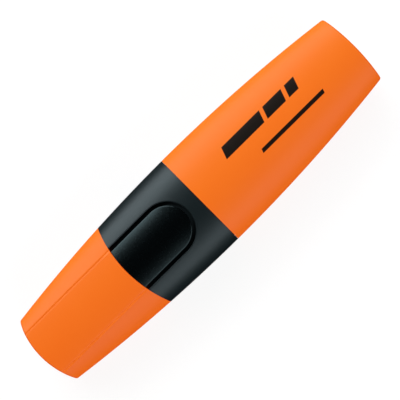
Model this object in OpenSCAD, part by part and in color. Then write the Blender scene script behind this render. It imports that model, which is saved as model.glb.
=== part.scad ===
/* [Outline] */
// Overall length with the cap on
total_length = 112; // [108:0.5:118]
// Greatest width across the broad face
body_width = 27.8; // [26.8:0.2:32]
// Greatest thickness through the broad faces, before the resting flat
body_depth = 16.8; // [16.2:0.2:19]
// Radius of the long sides seen from above
side_radius = 430; // [390:10:600]
// Distance of the widest place behind the middle of the length
widest_at = 1.8; // [0:0.1:3]
// Depth of the flat that the pen rests on
rest_flat = 0.4; // [0.2:0.1:0.6]

/* [Joint lines] */
// Place of the cap mouth, counted from the middle of the length
mouth_at = 0.7; // [0:0.1:2]
// Open line between the cap mouth and the barrel
mouth_gap = 0.1; // [0.06:0.02:0.2]
// Length of the cap end piece along the middle line
tip_length = 30.7; // [29.5:0.1:31.5]
// Radius of the curved joint between cap shell and end piece
joint_radius = 36; // [32:0.2:46]
// Radius of the cap end seen from above
cap_end_radius = 23.2; // [18:0.2:28]
// Radius of the barrel end seen from above
barrel_end_radius = 72; // [45:1:90]

/* [Walls] */
// Wall of the barrel
barrel_wall = 1.4; // [1.2:0.1:1.6]
// Wall of the cap shell
cap_wall = 1.3; // [1.1:0.1:1.5]
// Wall of the cap end piece
tip_wall = 1.8; // [1.5:0.1:2]
// Thickness of the closed ends of barrel and cap
end_wall = 1.6; // [1.2:0.1:2.2]
// Wall of the front section
front_wall = 1.2; // [1:0.1:1.4]
// Wall of the inner cap
liner_wall = 0.5; // [0.4:0.05:0.6]
// Thickness of the ribs inside barrel and cap
rib_thickness = 0.9; // [0.7:0.1:1.2]

/* [Clip] */
// Width of the clip tongue
clip_width = 12.6; // [12.2:0.1:13]
// Width of the slit around the clip
clip_slit = 0.95; // [0.6:0.05:1.05]
// Thickness of the clip tongue
clip_thickness = 1.3; // [1.1:0.05:1.35]
// Distance from the cap mouth to the round end of the clip
clip_setback = 5; // [4.4:0.1:5.6]
// Height of the free end of the clip above the crown of the cap
clip_rise = 0.6; // [0.4:0.05:1]
// Radius of the crown of the clip and of the raised panel
clip_crown = 28; // [24:0.5:34]
// Length of the thick root of the clip
clip_root = 2.8; // [2:0.1:4]
// Height of the gripping ridge under the clip
ridge_height = 0.55; // [0.4:0.05:0.6]
// Length of the gripping ridge across the clip
ridge_length = 7.6; // [5:0.2:9]
// Distance from the free end of the clip to the gripping ridge
ridge_setback = 3.2; // [2.4:0.1:5]
// Open room above the pocket floor where the tongue leaves its thick root
clip_root_gap = 0.1; // [0.06:0.02:0.2]
// Depth of the clip pocket below the crown of the cap
pocket_depth = 1.6; // [1.55:0.05:1.7]
// Wall below and beside the clip pocket
pocket_wall = 1; // [0.8:0.05:1.05]
// Height of the edges of the raised panel on the cap end piece
panel_step = 0.1; // [0.06:0.02:0.2]
// Distance from the cap end to the place where the panel has that height again
panel_margin = 3; // [2:0.1:5]

/* [Nib and front section] */
// Width of the nib
nib_width = 5; // [4.2:0.1:5.2]
// Thickness of the nib
nib_depth = 3.4; // [2.8:0.1:3.6]
// Rounding of the nib corners
nib_corner = 0.7; // [0.4:0.1:1]
// Length of nib in front of the nose
nib_reach = 8; // [6.5:0.5:9]
// Length of the slanted writing edge along the nib
nib_slant = 2.8; // [2:0.1:3.5]
// Thickness of the nib at the writing edge
nib_edge = 1.6; // [1.2:0.1:2]
// Length of the faces that narrow to the writing edge
nib_taper = 5.6; // [4:0.1:6.5]
// Length of nib that reaches into the ink reservoir
nib_root = 8; // [5:0.5:12]
// Diameter of the seal zone of the front section
seal_diameter = 9; // [8.8:0.05:9.1]
// Diameter of the neck where it leaves the collar
neck_diameter = 10; // [9.6:0.1:10.1]
// Diameter of the front face of the nose
nose_diameter = 7.6; // [7.4:0.1:8]
// Distance from the cap mouth to the front face of the nose
nose_reach = 27.3; // [26.5:0.1:28]
// Length of the seal zone
seal_length = 7.2; // [5.5:0.1:8]
// Length of the tapered nose
nose_length = 2.5; // [1.8:0.1:3]
// Length of the collar that guides the cap
collar_length = 9.8; // [8:0.1:11]
// Length of the spigot inside the barrel
spigot_length = 8; // [6:0.5:12]
// Width of the air slots beside the nib
vent_width = 0.8; // [0.6:0.1:1.2]
// Depth of the air slots beside the nib
vent_depth = 0.5; // [0.3:0.1:0.7]

/* [Inner cap and its socket] */
// Room in front of the nib inside the inner cap
nib_room = 6.5; // [5:0.1:7]
// Thickness of the closed end of the inner cap
liner_floor = 0.8; // [0.6:0.1:1]
// Length of the seal zone that the inner cap leaves bare
liner_setback = 0.4; // [0.2:0.1:1]
// Length of the inner cap inside its socket
socket_length = 8.8; // [7:0.1:10]
// Wall of the socket
socket_wall = 1; // [0.8:0.1:1.2]
// Width of the ledge that the closed end of the inner cap rests on
socket_ledge = 1.5; // [1:0.1:2]
// Distance from the mouth of the socket to the ribs beside it
socket_bare = 3.6; // [2:0.1:5]
// Length of the spigot of the cap end piece inside the cap shell
tip_spigot = 6; // [4:0.1:8]
// Length over which that spigot is joined to the wall of the end piece
tip_spigot_root = 4; // [3:0.1:6]
// Wall of that spigot
tip_spigot_wall = 1.2; // [1:0.1:1.4]

/* [Ink store] */
// Distance from the barrel front to the front of the ink reservoir
reservoir_start = 1.1; // [0.8:0.1:1.5]
// Distance from the barrel end to the rear of the ink reservoir
reservoir_setback = 10; // [9:0.5:16]
// Least height of the ribs beside the ink reservoir
rib_height = 0.5; // [0.3:0.05:0.8]
// Distance between the upright ribs beside the ink reservoir
rib_spacing = 9; // [6:0.5:12]
// Thickness of the film around the ink reservoir
film_thickness = 0.15; // [0.1:0.05:0.25]

/* [Fits] */
// Clearance of pieces pressed together
press_gap = 0.03; // [0.02:0.01:0.05]
// Clearance between the inner cap and the seal zone
seal_gap = 0.05; // [0.03:0.01:0.1]
// Clearance between the cap and the collar of the front section
cap_gap = 0.12; // [0.1:0.01:0.15]
// Open room between pieces that must stay apart
slack = 0.3; // [0.2:0.05:0.4]

/* [Hidden] */
$fn = 96;
disc_sides = 360;
arc_sides = 1440;
panel_sweep = 10;
far = 200;
cut = 1;
orange = [0.95, 0.42, 0.12];
black = [0.12, 0.13, 0.14];
fibre = [0.95, 0.6, 0.28];
natural = [0.91, 0.91, 0.9];
half_width = body_width / 2;
half_depth = body_depth / 2;
axis_height = half_depth - rest_flat;
rear_end = total_length / 2;
cap_end = -total_length / 2;
barrel_front = mouth_at + mouth_gap / 2;
cap_mouth = mouth_at - mouth_gap / 2;
joint_at = cap_end + tip_length;
// Clip
clip_end = cap_mouth - clip_setback;
clip_round = clip_end - clip_width / 2;
pocket_half = clip_width / 2 + clip_slit;
panel_half = pocket_half;
panel_sag = clip_crown - sqrt(pow(clip_crown, 2) - pow(panel_half, 2));
panel_start = cap_end + panel_margin;
panel_top_joint = panel_z(joint_at);
panel_top_start = panel_z(panel_start);
panel_mid = (joint_at + panel_start) / 2;
panel_top_mid = panel_z(panel_mid);
panel_chord = joint_at - panel_start;
panel_climb = panel_top_joint - panel_top_start;
panel_bow = panel_top_mid - (panel_top_joint + panel_top_start) / 2;
panel_radius = (pow(panel_chord, 2) + pow(panel_climb, 2)) / (8 * panel_bow);
panel_tilt = atan(panel_climb / panel_chord);
clip_top_root = half_depth_at(joint_at, pocket_depth) + clip_thickness + clip_root_gap;
clip_top_end = half_depth_at(clip_end, 0) + clip_rise;
clip_tilt = atan((clip_top_end - clip_top_root) / (clip_end - joint_at));
// Front section
nose_at = cap_mouth - nose_reach;
seal_front = nose_at + nose_length;
seal_rear = seal_front + seal_length;
collar_front = cap_mouth - collar_length;
collar_step = clip_round + pocket_half + pocket_wall + slack;
spigot_rear = barrel_front + spigot_length;
spigot_inset = barrel_wall + press_gap;
collar_inset = cap_wall + cap_gap;
neck_inset = pocket_depth + pocket_wall + cap_gap;
// Ink store
reservoir_front = barrel_front + reservoir_start;
reservoir_rear = rear_end - reservoir_setback;
film_half_width = half_width_at(reservoir_rear, barrel_wall) - rib_height;
film_half_depth = half_depth_at(reservoir_rear, barrel_wall) - rib_height;
wad_half_width = film_half_width - film_thickness - press_gap;
wad_half_depth = film_half_depth - film_thickness - press_gap;
nib_tip = nose_at - nib_reach;
nib_rear = reservoir_front + nib_root;
// Inner cap
liner_bore = seal_diameter / 2 + seal_gap;
liner_outer = liner_bore + liner_wall;
liner_mouth = seal_rear - liner_setback;
liner_inside = nib_tip - nib_room;
liner_end = liner_inside - liner_floor;
socket_bore = liner_outer + press_gap;
socket_outer = socket_bore + socket_wall;
socket_end = liner_end - end_wall;
socket_front = liner_end + socket_length;

// Half width of the body at a place along its length, inside a wall of the given thickness
function half_width_at(x, inset) =
  half_width - side_radius + sqrt(pow(side_radius - inset, 2) - pow(x - widest_at, 2));
function depth_ratio(inset) = (half_depth - inset) / (half_width - inset);
function half_depth_at(x, inset) = half_width_at(x, inset) * depth_ratio(inset);
function crown_at(x, y, inset) =
  half_depth_at(x, inset) * sqrt(1 - pow(y / half_width_at(x, inset), 2));
// Height of the middle of the raised panel
function panel_z(x) = crown_at(x, panel_half, 0) + panel_step + panel_sag;

// Oval body form, smaller by a wall, between two places along its length; left and right half
module form(inset, from, to) {
  for (turn = [0, 180])
    scale([1, 1, depth_ratio(inset)])
      rotate([turn, 0, 0])
        rotate([0, 90, 0])
          rotate_extrude(angle = 180)
            intersection() {
              translate([half_width - side_radius, widest_at])
                circle(r = side_radius - inset, $fn = arc_sides);
              translate([0, from]) square([half_width, to - from]);
            }
}

// Upright disc whose rim touches a place on the middle line, bulging to the front
module front_disc(apex, radius, inset) {
  translate([apex + radius, 0, -half_depth * 2])
    cylinder(r = radius - inset, h = half_depth * 4, $fn = disc_sides);
}

// Upright disc bulging to the rear
module rear_disc(apex, radius, inset) {
  translate([apex - radius, 0, -half_depth * 2])
    cylinder(r = radius - inset, h = half_depth * 4, $fn = disc_sides);
}

// Tongue outline with a round end, upright through the upper half
module tongue(half, from) {
  linear_extrude(height = half_depth * 2) {
    translate([from, -half]) square([clip_round - from, half * 2]);
    translate([clip_round, 0]) circle(r = half);
  }
}

// Everything above the plane that the pen rests on
module above_table() {
  translate([-far, -far, -axis_height]) cube([far * 2, far * 2, far]);
}

// Long bar with rounded corners, along the pen
module rounded_bar(width, depth, corner, from, to) {
  translate([from, 0, 0])
    rotate([90, 0, 90])
      linear_extrude(height = to - from) {
        square([width - corner * 2, depth], center = true);
        square([width, depth - corner * 2], center = true);
        for (sy = [-1, 1], sz = [-1, 1])
          translate([sy * (width / 2 - corner), sz * (depth / 2 - corner)]) circle(r = corner);
      }
}

// Oval rod along the pen, left and right half
module oval_rod(half_w, half_d, from, to) {
  for (turn = [0, 180])
    scale([1, 1, half_d / half_w])
      rotate([turn, 0, 0])
        rotate([0, 90, 0])
          rotate_extrude(angle = 180)
            translate([0, from]) square([half_w, to - from]);
}

// Round rod along the pen, with a start and an end radius
module round_rod(r_from, r_to, from, to) {
  translate([from, 0, 0])
    rotate([0, 90, 0])
      cylinder(r1 = r_from, r2 = r_to, h = to - from);
}

module barrel_ribs() {
  for (side = [-1, 1])
    translate([spigot_rear + slack, side * rib_spacing / 2 - rib_thickness / 2, -half_depth])
      cube([far, rib_thickness, body_depth]);
  translate([spigot_rear + slack, -half_width, -rib_thickness / 2])
    cube([far, body_width, rib_thickness]);
}

module barrel() {
  color(orange)
    translate([0, 0, axis_height]) {
      difference() {
        intersection() {
          form(0, barrel_front, rear_end + cut);
          rear_disc(rear_end, barrel_end_radius, 0);
          above_table();
        }
        difference() {
          intersection() {
            form(barrel_wall, barrel_front - cut, rear_end);
            rear_disc(rear_end, barrel_end_radius, end_wall);
          }
          difference() {
            barrel_ribs();
            oval_rod(film_half_width + press_gap, film_half_depth + press_gap,
              barrel_front, reservoir_rear + press_gap);
          }
        }
      }
    }
}

module front_section() {
  color(black)
    translate([0, 0, axis_height])
      difference() {
        union() {
          difference() {
            union() {
              form(spigot_inset, barrel_front, spigot_rear);
              form(collar_inset, collar_step, barrel_front);
              form(neck_inset, collar_front, collar_step);
            }
            form(spigot_inset + front_wall, collar_step + front_wall, spigot_rear + cut);
            form(neck_inset + front_wall, collar_front + front_wall, collar_step + front_wall + cut);
          }
          round_rod(seal_diameter / 2, neck_diameter / 2, seal_rear, collar_front + front_wall / 2);
          round_rod(seal_diameter / 2, seal_diameter / 2, seal_front, seal_rear);
          round_rod(nose_diameter / 2, seal_diameter / 2, nose_at, seal_front);
          round_rod(nose_diameter / 2, nose_diameter / 2, collar_front, reservoir_front - slack);
        }
        rounded_bar(nib_width + press_gap * 2, nib_depth + press_gap * 2, nib_corner,
          nose_at - cut, rear_end);
        translate([nose_at - cut, -nib_width / 2 - vent_depth, -vent_width / 2])
          cube([far, nib_width + vent_depth * 2, vent_width]);
      }
}

module nib() {
  color(fibre)
    translate([0, 0, axis_height])
      difference() {
        rounded_bar(nib_width, nib_depth, nib_corner, nib_tip, nib_rear);
        translate([0, 0, -nib_depth])
          linear_extrude(height = nib_depth * 2)
            polygon([[nib_tip, -nib_width / 2], [nib_tip - cut, -nib_width], [nib_tip - cut, nib_width],
              [nib_tip + nib_slant, nib_width], [nib_tip + nib_slant, nib_width / 2]]);
        for (side = [0, 1])
          mirror([0, 0, side])
            rotate([90, 0, 0])
              linear_extrude(height = nib_width * 2, center = true)
                polygon([[nib_tip - cut, nib_edge / 2], [nib_tip, nib_edge / 2],
                  [nib_tip + nib_taper, nib_depth / 2], [nib_tip + nib_taper, nib_depth],
                  [nib_tip - cut, nib_depth]]);
      }
}

module ink_reservoir() {
  color(fibre)
    translate([0, 0, axis_height])
      difference() {
        oval_rod(wad_half_width, wad_half_depth, reservoir_front, reservoir_rear);
        rounded_bar(nib_width + press_gap * 2, nib_depth + press_gap * 2, nib_corner,
          reservoir_front - cut, nib_rear + press_gap);
      }
}

module reservoir_film() {
  color(natural)
    translate([0, 0, axis_height])
      difference() {
        oval_rod(film_half_width, film_half_depth, reservoir_front, reservoir_rear);
        oval_rod(wad_half_width + press_gap, wad_half_depth + press_gap,
          reservoir_front - cut, reservoir_rear + cut);
      }
}

module cap_shell() {
  color(black)
    translate([0, 0, axis_height])
      difference() {
        intersection() {
          form(0, cap_end, cap_mouth);
          front_disc(joint_at, joint_radius, 0);
          above_table();
        }
        difference() {
          form(cap_wall, cap_end, cap_mouth + cut);
          difference() {
            tongue(pocket_half + pocket_wall, cap_end);
            form(pocket_depth + pocket_wall, cap_end, cap_mouth + cut);
          }
        }
        difference() {
          tongue(pocket_half, cap_end);
          form(pocket_depth, cap_end, cap_mouth + cut);
        }
      }
}

// Solid below the crown of the clip, tilted up to its free end
module clip_crown_solid(drop) {
  translate([joint_at, 0, clip_top_root])
    rotate([0, -clip_tilt, 0])
      translate([-far / 4, 0, -clip_crown])
        rotate([0, 90, 0])
          cylinder(r = clip_crown - drop, h = far / 2, $fn = disc_sides);
}

module cap_clip() {
  color(black)
    translate([0, 0, axis_height]) {
      intersection() {
        front_disc(joint_at, joint_radius, press_gap);
        tongue(clip_width / 2, cap_end);
        clip_crown_solid(0);
        union() {
          difference() {
            translate([cap_end, -half_width, 0])
              cube([joint_at + clip_root - cap_end, body_width, body_depth]);
            form(pocket_depth - press_gap, cap_end, cap_mouth);
          }
          difference() {
            translate([joint_at, -half_width, 0]) cube([-joint_at, body_width, body_depth]);
            clip_crown_solid(clip_thickness);
          }
          translate([joint_at, 0, clip_top_root])
            rotate([0, -clip_tilt, 0])
              translate([clip_end - ridge_setback - joint_at, 0, -clip_thickness])
                rotate([90, 0, 0])
                  cylinder(r = ridge_height, h = ridge_length, center = true);
        }
      }
    }
}

// Solid below the raised panel: crowned across, bowed along the cap end piece
module panel_solid() {
  translate([panel_mid, 0, panel_top_mid])
    rotate([0, -panel_tilt, 0])
      translate([0, 0, -panel_radius])
        rotate([90, 0, 0])
          rotate([0, 0, 90 - panel_sweep / 2])
            rotate_extrude(angle = panel_sweep, $fn = arc_sides)
              intersection() {
                translate([panel_radius - clip_crown, 0]) circle(r = clip_crown, $fn = disc_sides);
                translate([panel_radius - half_depth, -half_width]) square([half_depth * 2, body_width]);
              }
}

module panel_strip() {
  translate([cap_end - cut, -panel_half, 0]) cube([far, panel_half * 2, far]);
}

module cap_tip() {
  color(orange)
    translate([0, 0, axis_height])
      difference() {
        union() {
          difference() {
            intersection() {
              union() {
                difference() {
                  form(0, cap_end - cut, 0);
                  difference() {
                    panel_strip();
                    panel_solid();
                  }
                }
                intersection() {
                  panel_strip();
                  panel_solid();
                }
              }
              front_disc(cap_end, cap_end_radius, 0);
              above_table();
            }
            front_disc(joint_at, joint_radius, -press_gap);
            intersection() {
              form(tip_wall, cap_end, 0);
              front_disc(cap_end, cap_end_radius, end_wall);
            }
          }
          difference() {
            form(cap_wall + press_gap, joint_at - tip_spigot_root, joint_at + tip_spigot);
            form(cap_wall + press_gap + tip_spigot_wall, joint_at - tip_spigot_root - cut,
              joint_at + tip_spigot + cut);
            tongue(pocket_half + pocket_wall + slack, joint_at);
          }
          intersection() {
            union() {
              round_rod(socket_outer, socket_outer, socket_end, socket_front);
              translate([socket_end, -half_width, -rib_thickness / 2])
                cube([socket_front - socket_bare - socket_end, body_width, rib_thickness]);
            }
            form(tip_wall / 2, cap_end, 0);
          }
        }
        round_rod(socket_bore, socket_bore, liner_end - press_gap, 0);
        round_rod(socket_bore - socket_ledge, socket_bore - socket_ledge, socket_end - cut, 0);
      }
}

module inner_cap() {
  color(natural)
    translate([0, 0, axis_height])
      difference() {
        round_rod(liner_outer, liner_outer, liner_end, liner_mouth);
        round_rod(liner_bore, liner_bore, liner_inside, liner_mouth + cut);
      }
}

barrel();
front_section();
nib();
ink_reservoir();
reservoir_film();
cap_shell();
cap_clip();
cap_tip();
inner_cap();
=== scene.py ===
"""A flat oval highlighter with its cap on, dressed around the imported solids.

Lengths are metres. X runs along the pen from the cap to the barrel end, Y across the broad face, Z up.
"""
import math

import bmesh
import bpy
import numpy as np
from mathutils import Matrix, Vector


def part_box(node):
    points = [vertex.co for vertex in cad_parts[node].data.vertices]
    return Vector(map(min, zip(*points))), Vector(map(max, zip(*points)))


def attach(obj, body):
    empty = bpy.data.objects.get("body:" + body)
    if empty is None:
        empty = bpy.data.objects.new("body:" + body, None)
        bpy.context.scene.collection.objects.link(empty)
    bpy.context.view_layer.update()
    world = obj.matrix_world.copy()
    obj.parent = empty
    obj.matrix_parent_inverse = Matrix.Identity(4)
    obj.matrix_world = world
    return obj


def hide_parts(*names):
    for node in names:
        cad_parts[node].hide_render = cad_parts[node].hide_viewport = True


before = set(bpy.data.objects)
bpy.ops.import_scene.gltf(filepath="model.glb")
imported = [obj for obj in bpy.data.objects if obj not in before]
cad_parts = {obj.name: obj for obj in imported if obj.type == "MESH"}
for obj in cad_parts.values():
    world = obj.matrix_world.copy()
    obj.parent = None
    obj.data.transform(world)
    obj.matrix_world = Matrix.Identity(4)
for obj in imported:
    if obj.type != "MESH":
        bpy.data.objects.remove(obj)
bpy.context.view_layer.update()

MM = 0.001

# Body form: an oval whose half width follows a long arc
barrel_low, barrel_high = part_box("barrel")
shell_low, shell_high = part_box("cap_shell")
REST_FLAT = 0.4 * MM
REST_SOFTNESS = 0.03 * MM
HALF_WIDTH = barrel_high[1]
HALF_DEPTH = (barrel_high[2] + REST_FLAT) / 2
AXIS_HEIGHT = HALF_DEPTH - REST_FLAT
SIDE_RADIUS = 430 * MM
WIDEST_AT = 1.8 * MM

# Places along the pen, and the arcs of its ends and of the cap joint
SEAM_CLOSED = 0.04 * MM  # each rim comes this much nearer, so that the seam is a hairline
REAR_END = barrel_high[0]
BARREL_FRONT = barrel_low[0] - SEAM_CLOSED
CAP_MOUTH = shell_high[0] + SEAM_CLOSED
JOINT_AT = shell_low[0]
CAP_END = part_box("cap_tip")[0][0]
BARREL_END_RADIUS = 72 * MM
JOINT_RADIUS = 36 * MM
CAP_END_RADIUS = 23.2 * MM

# Walls and edge roundings
BARREL_WALL = 1.4 * MM
CAP_WALL = 1.3 * MM
TIP_WALL = 1.8 * MM
END_WALL = 1.6 * MM
JOINT_GAP = 0.03 * MM
SEAM_EDGE = 0.05 * MM
REAR_EDGE = 0.5 * MM
TIP_EDGE = 0.35 * MM

# Clip tongue, its pocket in the shell and the panel that carries its line on over the cap end
CLIP_HALF = 6.3 * MM
CLIP_SLIT = 0.95 * MM
CLIP_THICKNESS = 1.3 * MM
CLIP_SETBACK = 5 * MM
CLIP_RISE = 0.6 * MM
CLIP_CROWN = 28 * MM
CLIP_ROOT = 2.8 * MM
CLIP_ROOT_GAP = 0.1 * MM
CLIP_ROLL_WIDTH = 5.8 * MM
CLIP_ROLL_DROP = 0.72 * MM
CLIP_EDGE = 0.2 * MM
RIDGE_RADIUS = 0.55 * MM
RIDGE_LENGTH = 7.6 * MM
RIDGE_SETBACK = 3.2 * MM
POCKET_DEPTH = 1.6 * MM
POCKET_WALL = 1.0 * MM
POCKET_LIP = 0.25 * MM
POCKET_SPREAD = 0.015 * MM  # keeps the inner lines behind the pocket's side walls apart
BOSS_EASE_FROM = 0.7 * POCKET_WALL
BOSS_EASE_RUN = 0.6 * POCKET_WALL
PANEL_STEP = 0.03 * MM
PANEL_MARGIN = 3 * MM
GROOVE_HALF = 0.42 * MM
GROOVE_DEPTH = 0.14 * MM
SHOULDER_WIDTH = 3.4 * MM
SHOULDER_SWELL = 0.18 * MM
PANEL_HALF = CLIP_HALF + CLIP_SLIT / 2
POCKET_HALF = CLIP_HALF + CLIP_SLIT
CLIP_END = CAP_MOUTH - CLIP_SETBACK
CLIP_ROUND = CLIP_END - CLIP_HALF

# Pieces inside: nib, front section, inner cap and ink store
nose_low, nose_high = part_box("front_section")
nib_low, nib_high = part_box("nib")
liner_low, liner_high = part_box("inner_cap")
film_low, film_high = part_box("reservoir_film")
SLACK = 0.3 * MM
CAP_GAP = 0.12 * MM
NIB_HALF = nib_high[1]
NIB_HALF_DEPTH = (nib_high[2] - nib_low[2]) / 2
NIB_SQUARE = 5.5
NIB_SLANT = 2.8 * MM
NIB_EDGE_HALF = 0.8 * MM
NIB_EDGE = 0.18 * MM
NIB_TAPER_SOFTNESS = 0.03 * MM
NIB_HOLE_GAP = 0.08 * MM
NIB_HOLE_DEPTH = 4 * MM
NOSE_RADIUS = 3.8 * MM
NOSE_LENGTH = 2.5 * MM
SEAL_RADIUS = 4.5 * MM
SEAL_LENGTH = 7.2 * MM
SEAL_LEAD = 0.06 * MM
SEAL_STEP = 0.02 * MM
NECK_RADIUS = 5.0 * MM
NECK_BLEND = 0.6 * MM
COLLAR_LENGTH = 9.8 * MM
COLLAR_STEP = CLIP_ROUND + POCKET_HALF + POCKET_WALL + SLACK
FRONT_WALL = 1.2 * MM
FRONT_EDGE = 0.25 * MM
RESERVOIR_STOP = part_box("ink_reservoir")[0][0] - SLACK
LINER_WALL = 0.5 * MM
LINER_FLOOR = 0.8 * MM
LINER_EDGE = 0.4 * MM
LIP_EDGE = 0.2 * MM

# Inside of the cap end: the spigot that the sleeve sits on, the socket of the inner cap and its ribs
SPIGOT_ROOT = 4 * MM
SPIGOT_LENGTH = 6 * MM
SPIGOT_WALL = 1.2 * MM
SOCKET_BORE = liner_high[1] + JOINT_GAP
SOCKET_WALL = 1.0 * MM
SOCKET_LEDGE = 1.5 * MM
SOCKET_LENGTH = 8.8 * MM
SOCKET_BACK = liner_low[0] - END_WALL
SOCKET_MOUTH = liner_low[0] + SOCKET_LENGTH
SOCKET_BARE = 3.6 * MM
RIB_THICKNESS = 0.9 * MM

# Ribs inside the barrel, which hold the ink store
RIB_SPACING = 9 * MM
STORE_END = film_high[0] + JOINT_GAP
STORE_HALF = film_high[1] + JOINT_GAP
STORE_HALF_DEPTH = (film_high[2] - film_low[2]) / 2 + JOINT_GAP


# Shapes of the body form

def half_width(x, inset=0.0):
    """Half width of the oval at x: the side arc, smaller by an inset."""
    return HALF_WIDTH - SIDE_RADIUS + np.sqrt((SIDE_RADIUS - inset) ** 2 - (x - WIDEST_AT) ** 2)


def half_depth(x, inset=0.0):
    """Half depth of the oval at x: the half width times the fixed ratio of that inset."""
    return half_width(x, inset) * (HALF_DEPTH - inset) / (HALF_WIDTH - inset)


def crown(x, y, inset=0.0):
    """Height of the oval above its axis at x and y: half depth times sqrt(1 - (y / half width)^2)."""
    return half_depth(x, inset) * np.sqrt(np.clip(1 - (y / half_width(x, inset)) ** 2, 0, None))


def rested(z, inset=0.0):
    """Height z above the axis, cut level where it would sink below the resting plane, with a soft edge."""
    above = z + AXIS_HEIGHT - inset
    return (above + np.sqrt(above ** 2 + REST_SOFTNESS ** 2)) / 2 - AXIS_HEIGHT + inset


def arc_place(y, apex, radius, bulge):
    """Where an upright cylinder face lies at y: its apex, less the arc's sagitta on the side it bulges to."""
    return apex - bulge * (radius - np.sqrt(radius ** 2 - y ** 2))


def settle(place, lateral, start, rounds=6):
    """The x at which a line of the form meets an end face: x = place(lateral(x)), found by repeating it."""
    x = start
    for _ in range(rounds):
        x = place(lateral(x))
    return x


def eased(count, power=1.6):
    """Parameters from 0 to 1 that lie closer together at both ends."""
    u = np.linspace(-1, 1, count)
    return (np.sign(u) * (1 - (1 - np.abs(u)) ** power) + 1) / 2


def smooth_step(u):
    """Share that leaves 0 and reaches 1 level: 3 u^2 - 2 u^3."""
    return u ** 2 * (3 - 2 * u)


def quarter(count):
    """Angles of a quarter circle, from 0 to a right angle."""
    return np.linspace(0, math.pi / 2, count)


def rounding(radius, count):
    """Quarter circle of a rounded edge: its distance from one face, which falls to 0, and from the other."""
    q = quarter(count)
    return radius * (1 - np.sin(q)), radius * (1 - np.cos(q))


def edge_drop(reach, radius):
    """Drop of a rounded edge at a reach from its end: radius * (1 - sqrt(1 - (1 - reach / radius)^2))."""
    past = np.clip(1 - reach / radius, 0, 1)
    return radius * (1 - np.sqrt(1 - past ** 2))


def stacked(x, y, z):
    """Points from three arrays, with heights above the pen axis made heights above the floor."""
    x, y, z = np.broadcast_arrays(x, y, z)
    return np.stack((x, y, z + AXIS_HEIGHT), axis=-1)


# Meshes

WELD_REACH = 0.0004 * MM
LEAST_EDGE = 0.0002 * MM
SHARP_EDGE = math.radians(40)


def grid_faces(rows, columns, offset, wrap_rows, wrap_columns):
    """Quads of a grid of points, joined round in either direction where it closes on itself."""
    r = np.arange(rows if wrap_rows else rows - 1)
    c = np.arange(columns if wrap_columns else columns - 1)
    r, c = np.meshgrid(r, c, indexing="ij")
    r_next = (r + 1) % rows
    c_next = (c + 1) % columns
    corners = (r * columns + c, r_next * columns + c, r_next * columns + c_next, r * columns + c_next)
    return np.stack(corners, axis=-1).reshape(-1, 4) + offset


def capped(grid):
    """A grid closed at its first and last rows by lines halfway between the two halves of its columns."""
    middle = (grid + grid[:, ::-1]) / 2
    return np.concatenate((middle[:1], grid, middle[-1:]), axis=0)


def make_piece(name, grids, body, materials, replaces):
    """One piece from grids of points: welds seams and poles, drops faces with no area, turns all outwards.

    Each grid comes with the number of its material and with whether its rows and its columns close.
    """
    points = []
    faces = []
    finishes = []
    count = 0
    for grid, finish, wrap_rows, wrap_columns in grids:
        rows, columns = grid.shape[:2]
        points.append(grid.reshape(-1, 3))
        faces.append(grid_faces(rows, columns, count, wrap_rows, wrap_columns))
        finishes.append(np.full(len(faces[-1]), finish))
        count += rows * columns
    mesh = bpy.data.meshes.new(name)
    mesh.from_pydata(np.concatenate(points), [], np.concatenate(faces).tolist())
    for material in materials:
        mesh.materials.append(material)
    mesh.polygons.foreach_set("material_index", np.concatenate(finishes))
    welded = bmesh.new()
    welded.from_mesh(mesh)
    bmesh.ops.remove_doubles(welded, verts=welded.verts, dist=WELD_REACH)
    bmesh.ops.dissolve_degenerate(welded, edges=welded.edges, dist=LEAST_EDGE)
    bmesh.ops.recalc_face_normals(welded, faces=welded.faces)
    welded.to_mesh(mesh)
    welded.free()
    mesh.polygons.foreach_set("use_smooth", np.ones(len(mesh.polygons), dtype=bool))
    mesh.set_sharp_from_angle(angle=SHARP_EDGE)
    piece = bpy.data.objects.new(name, mesh)
    bpy.context.scene.collection.objects.link(piece)
    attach(piece, body)
    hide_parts(replaces)


# Barrel

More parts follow.
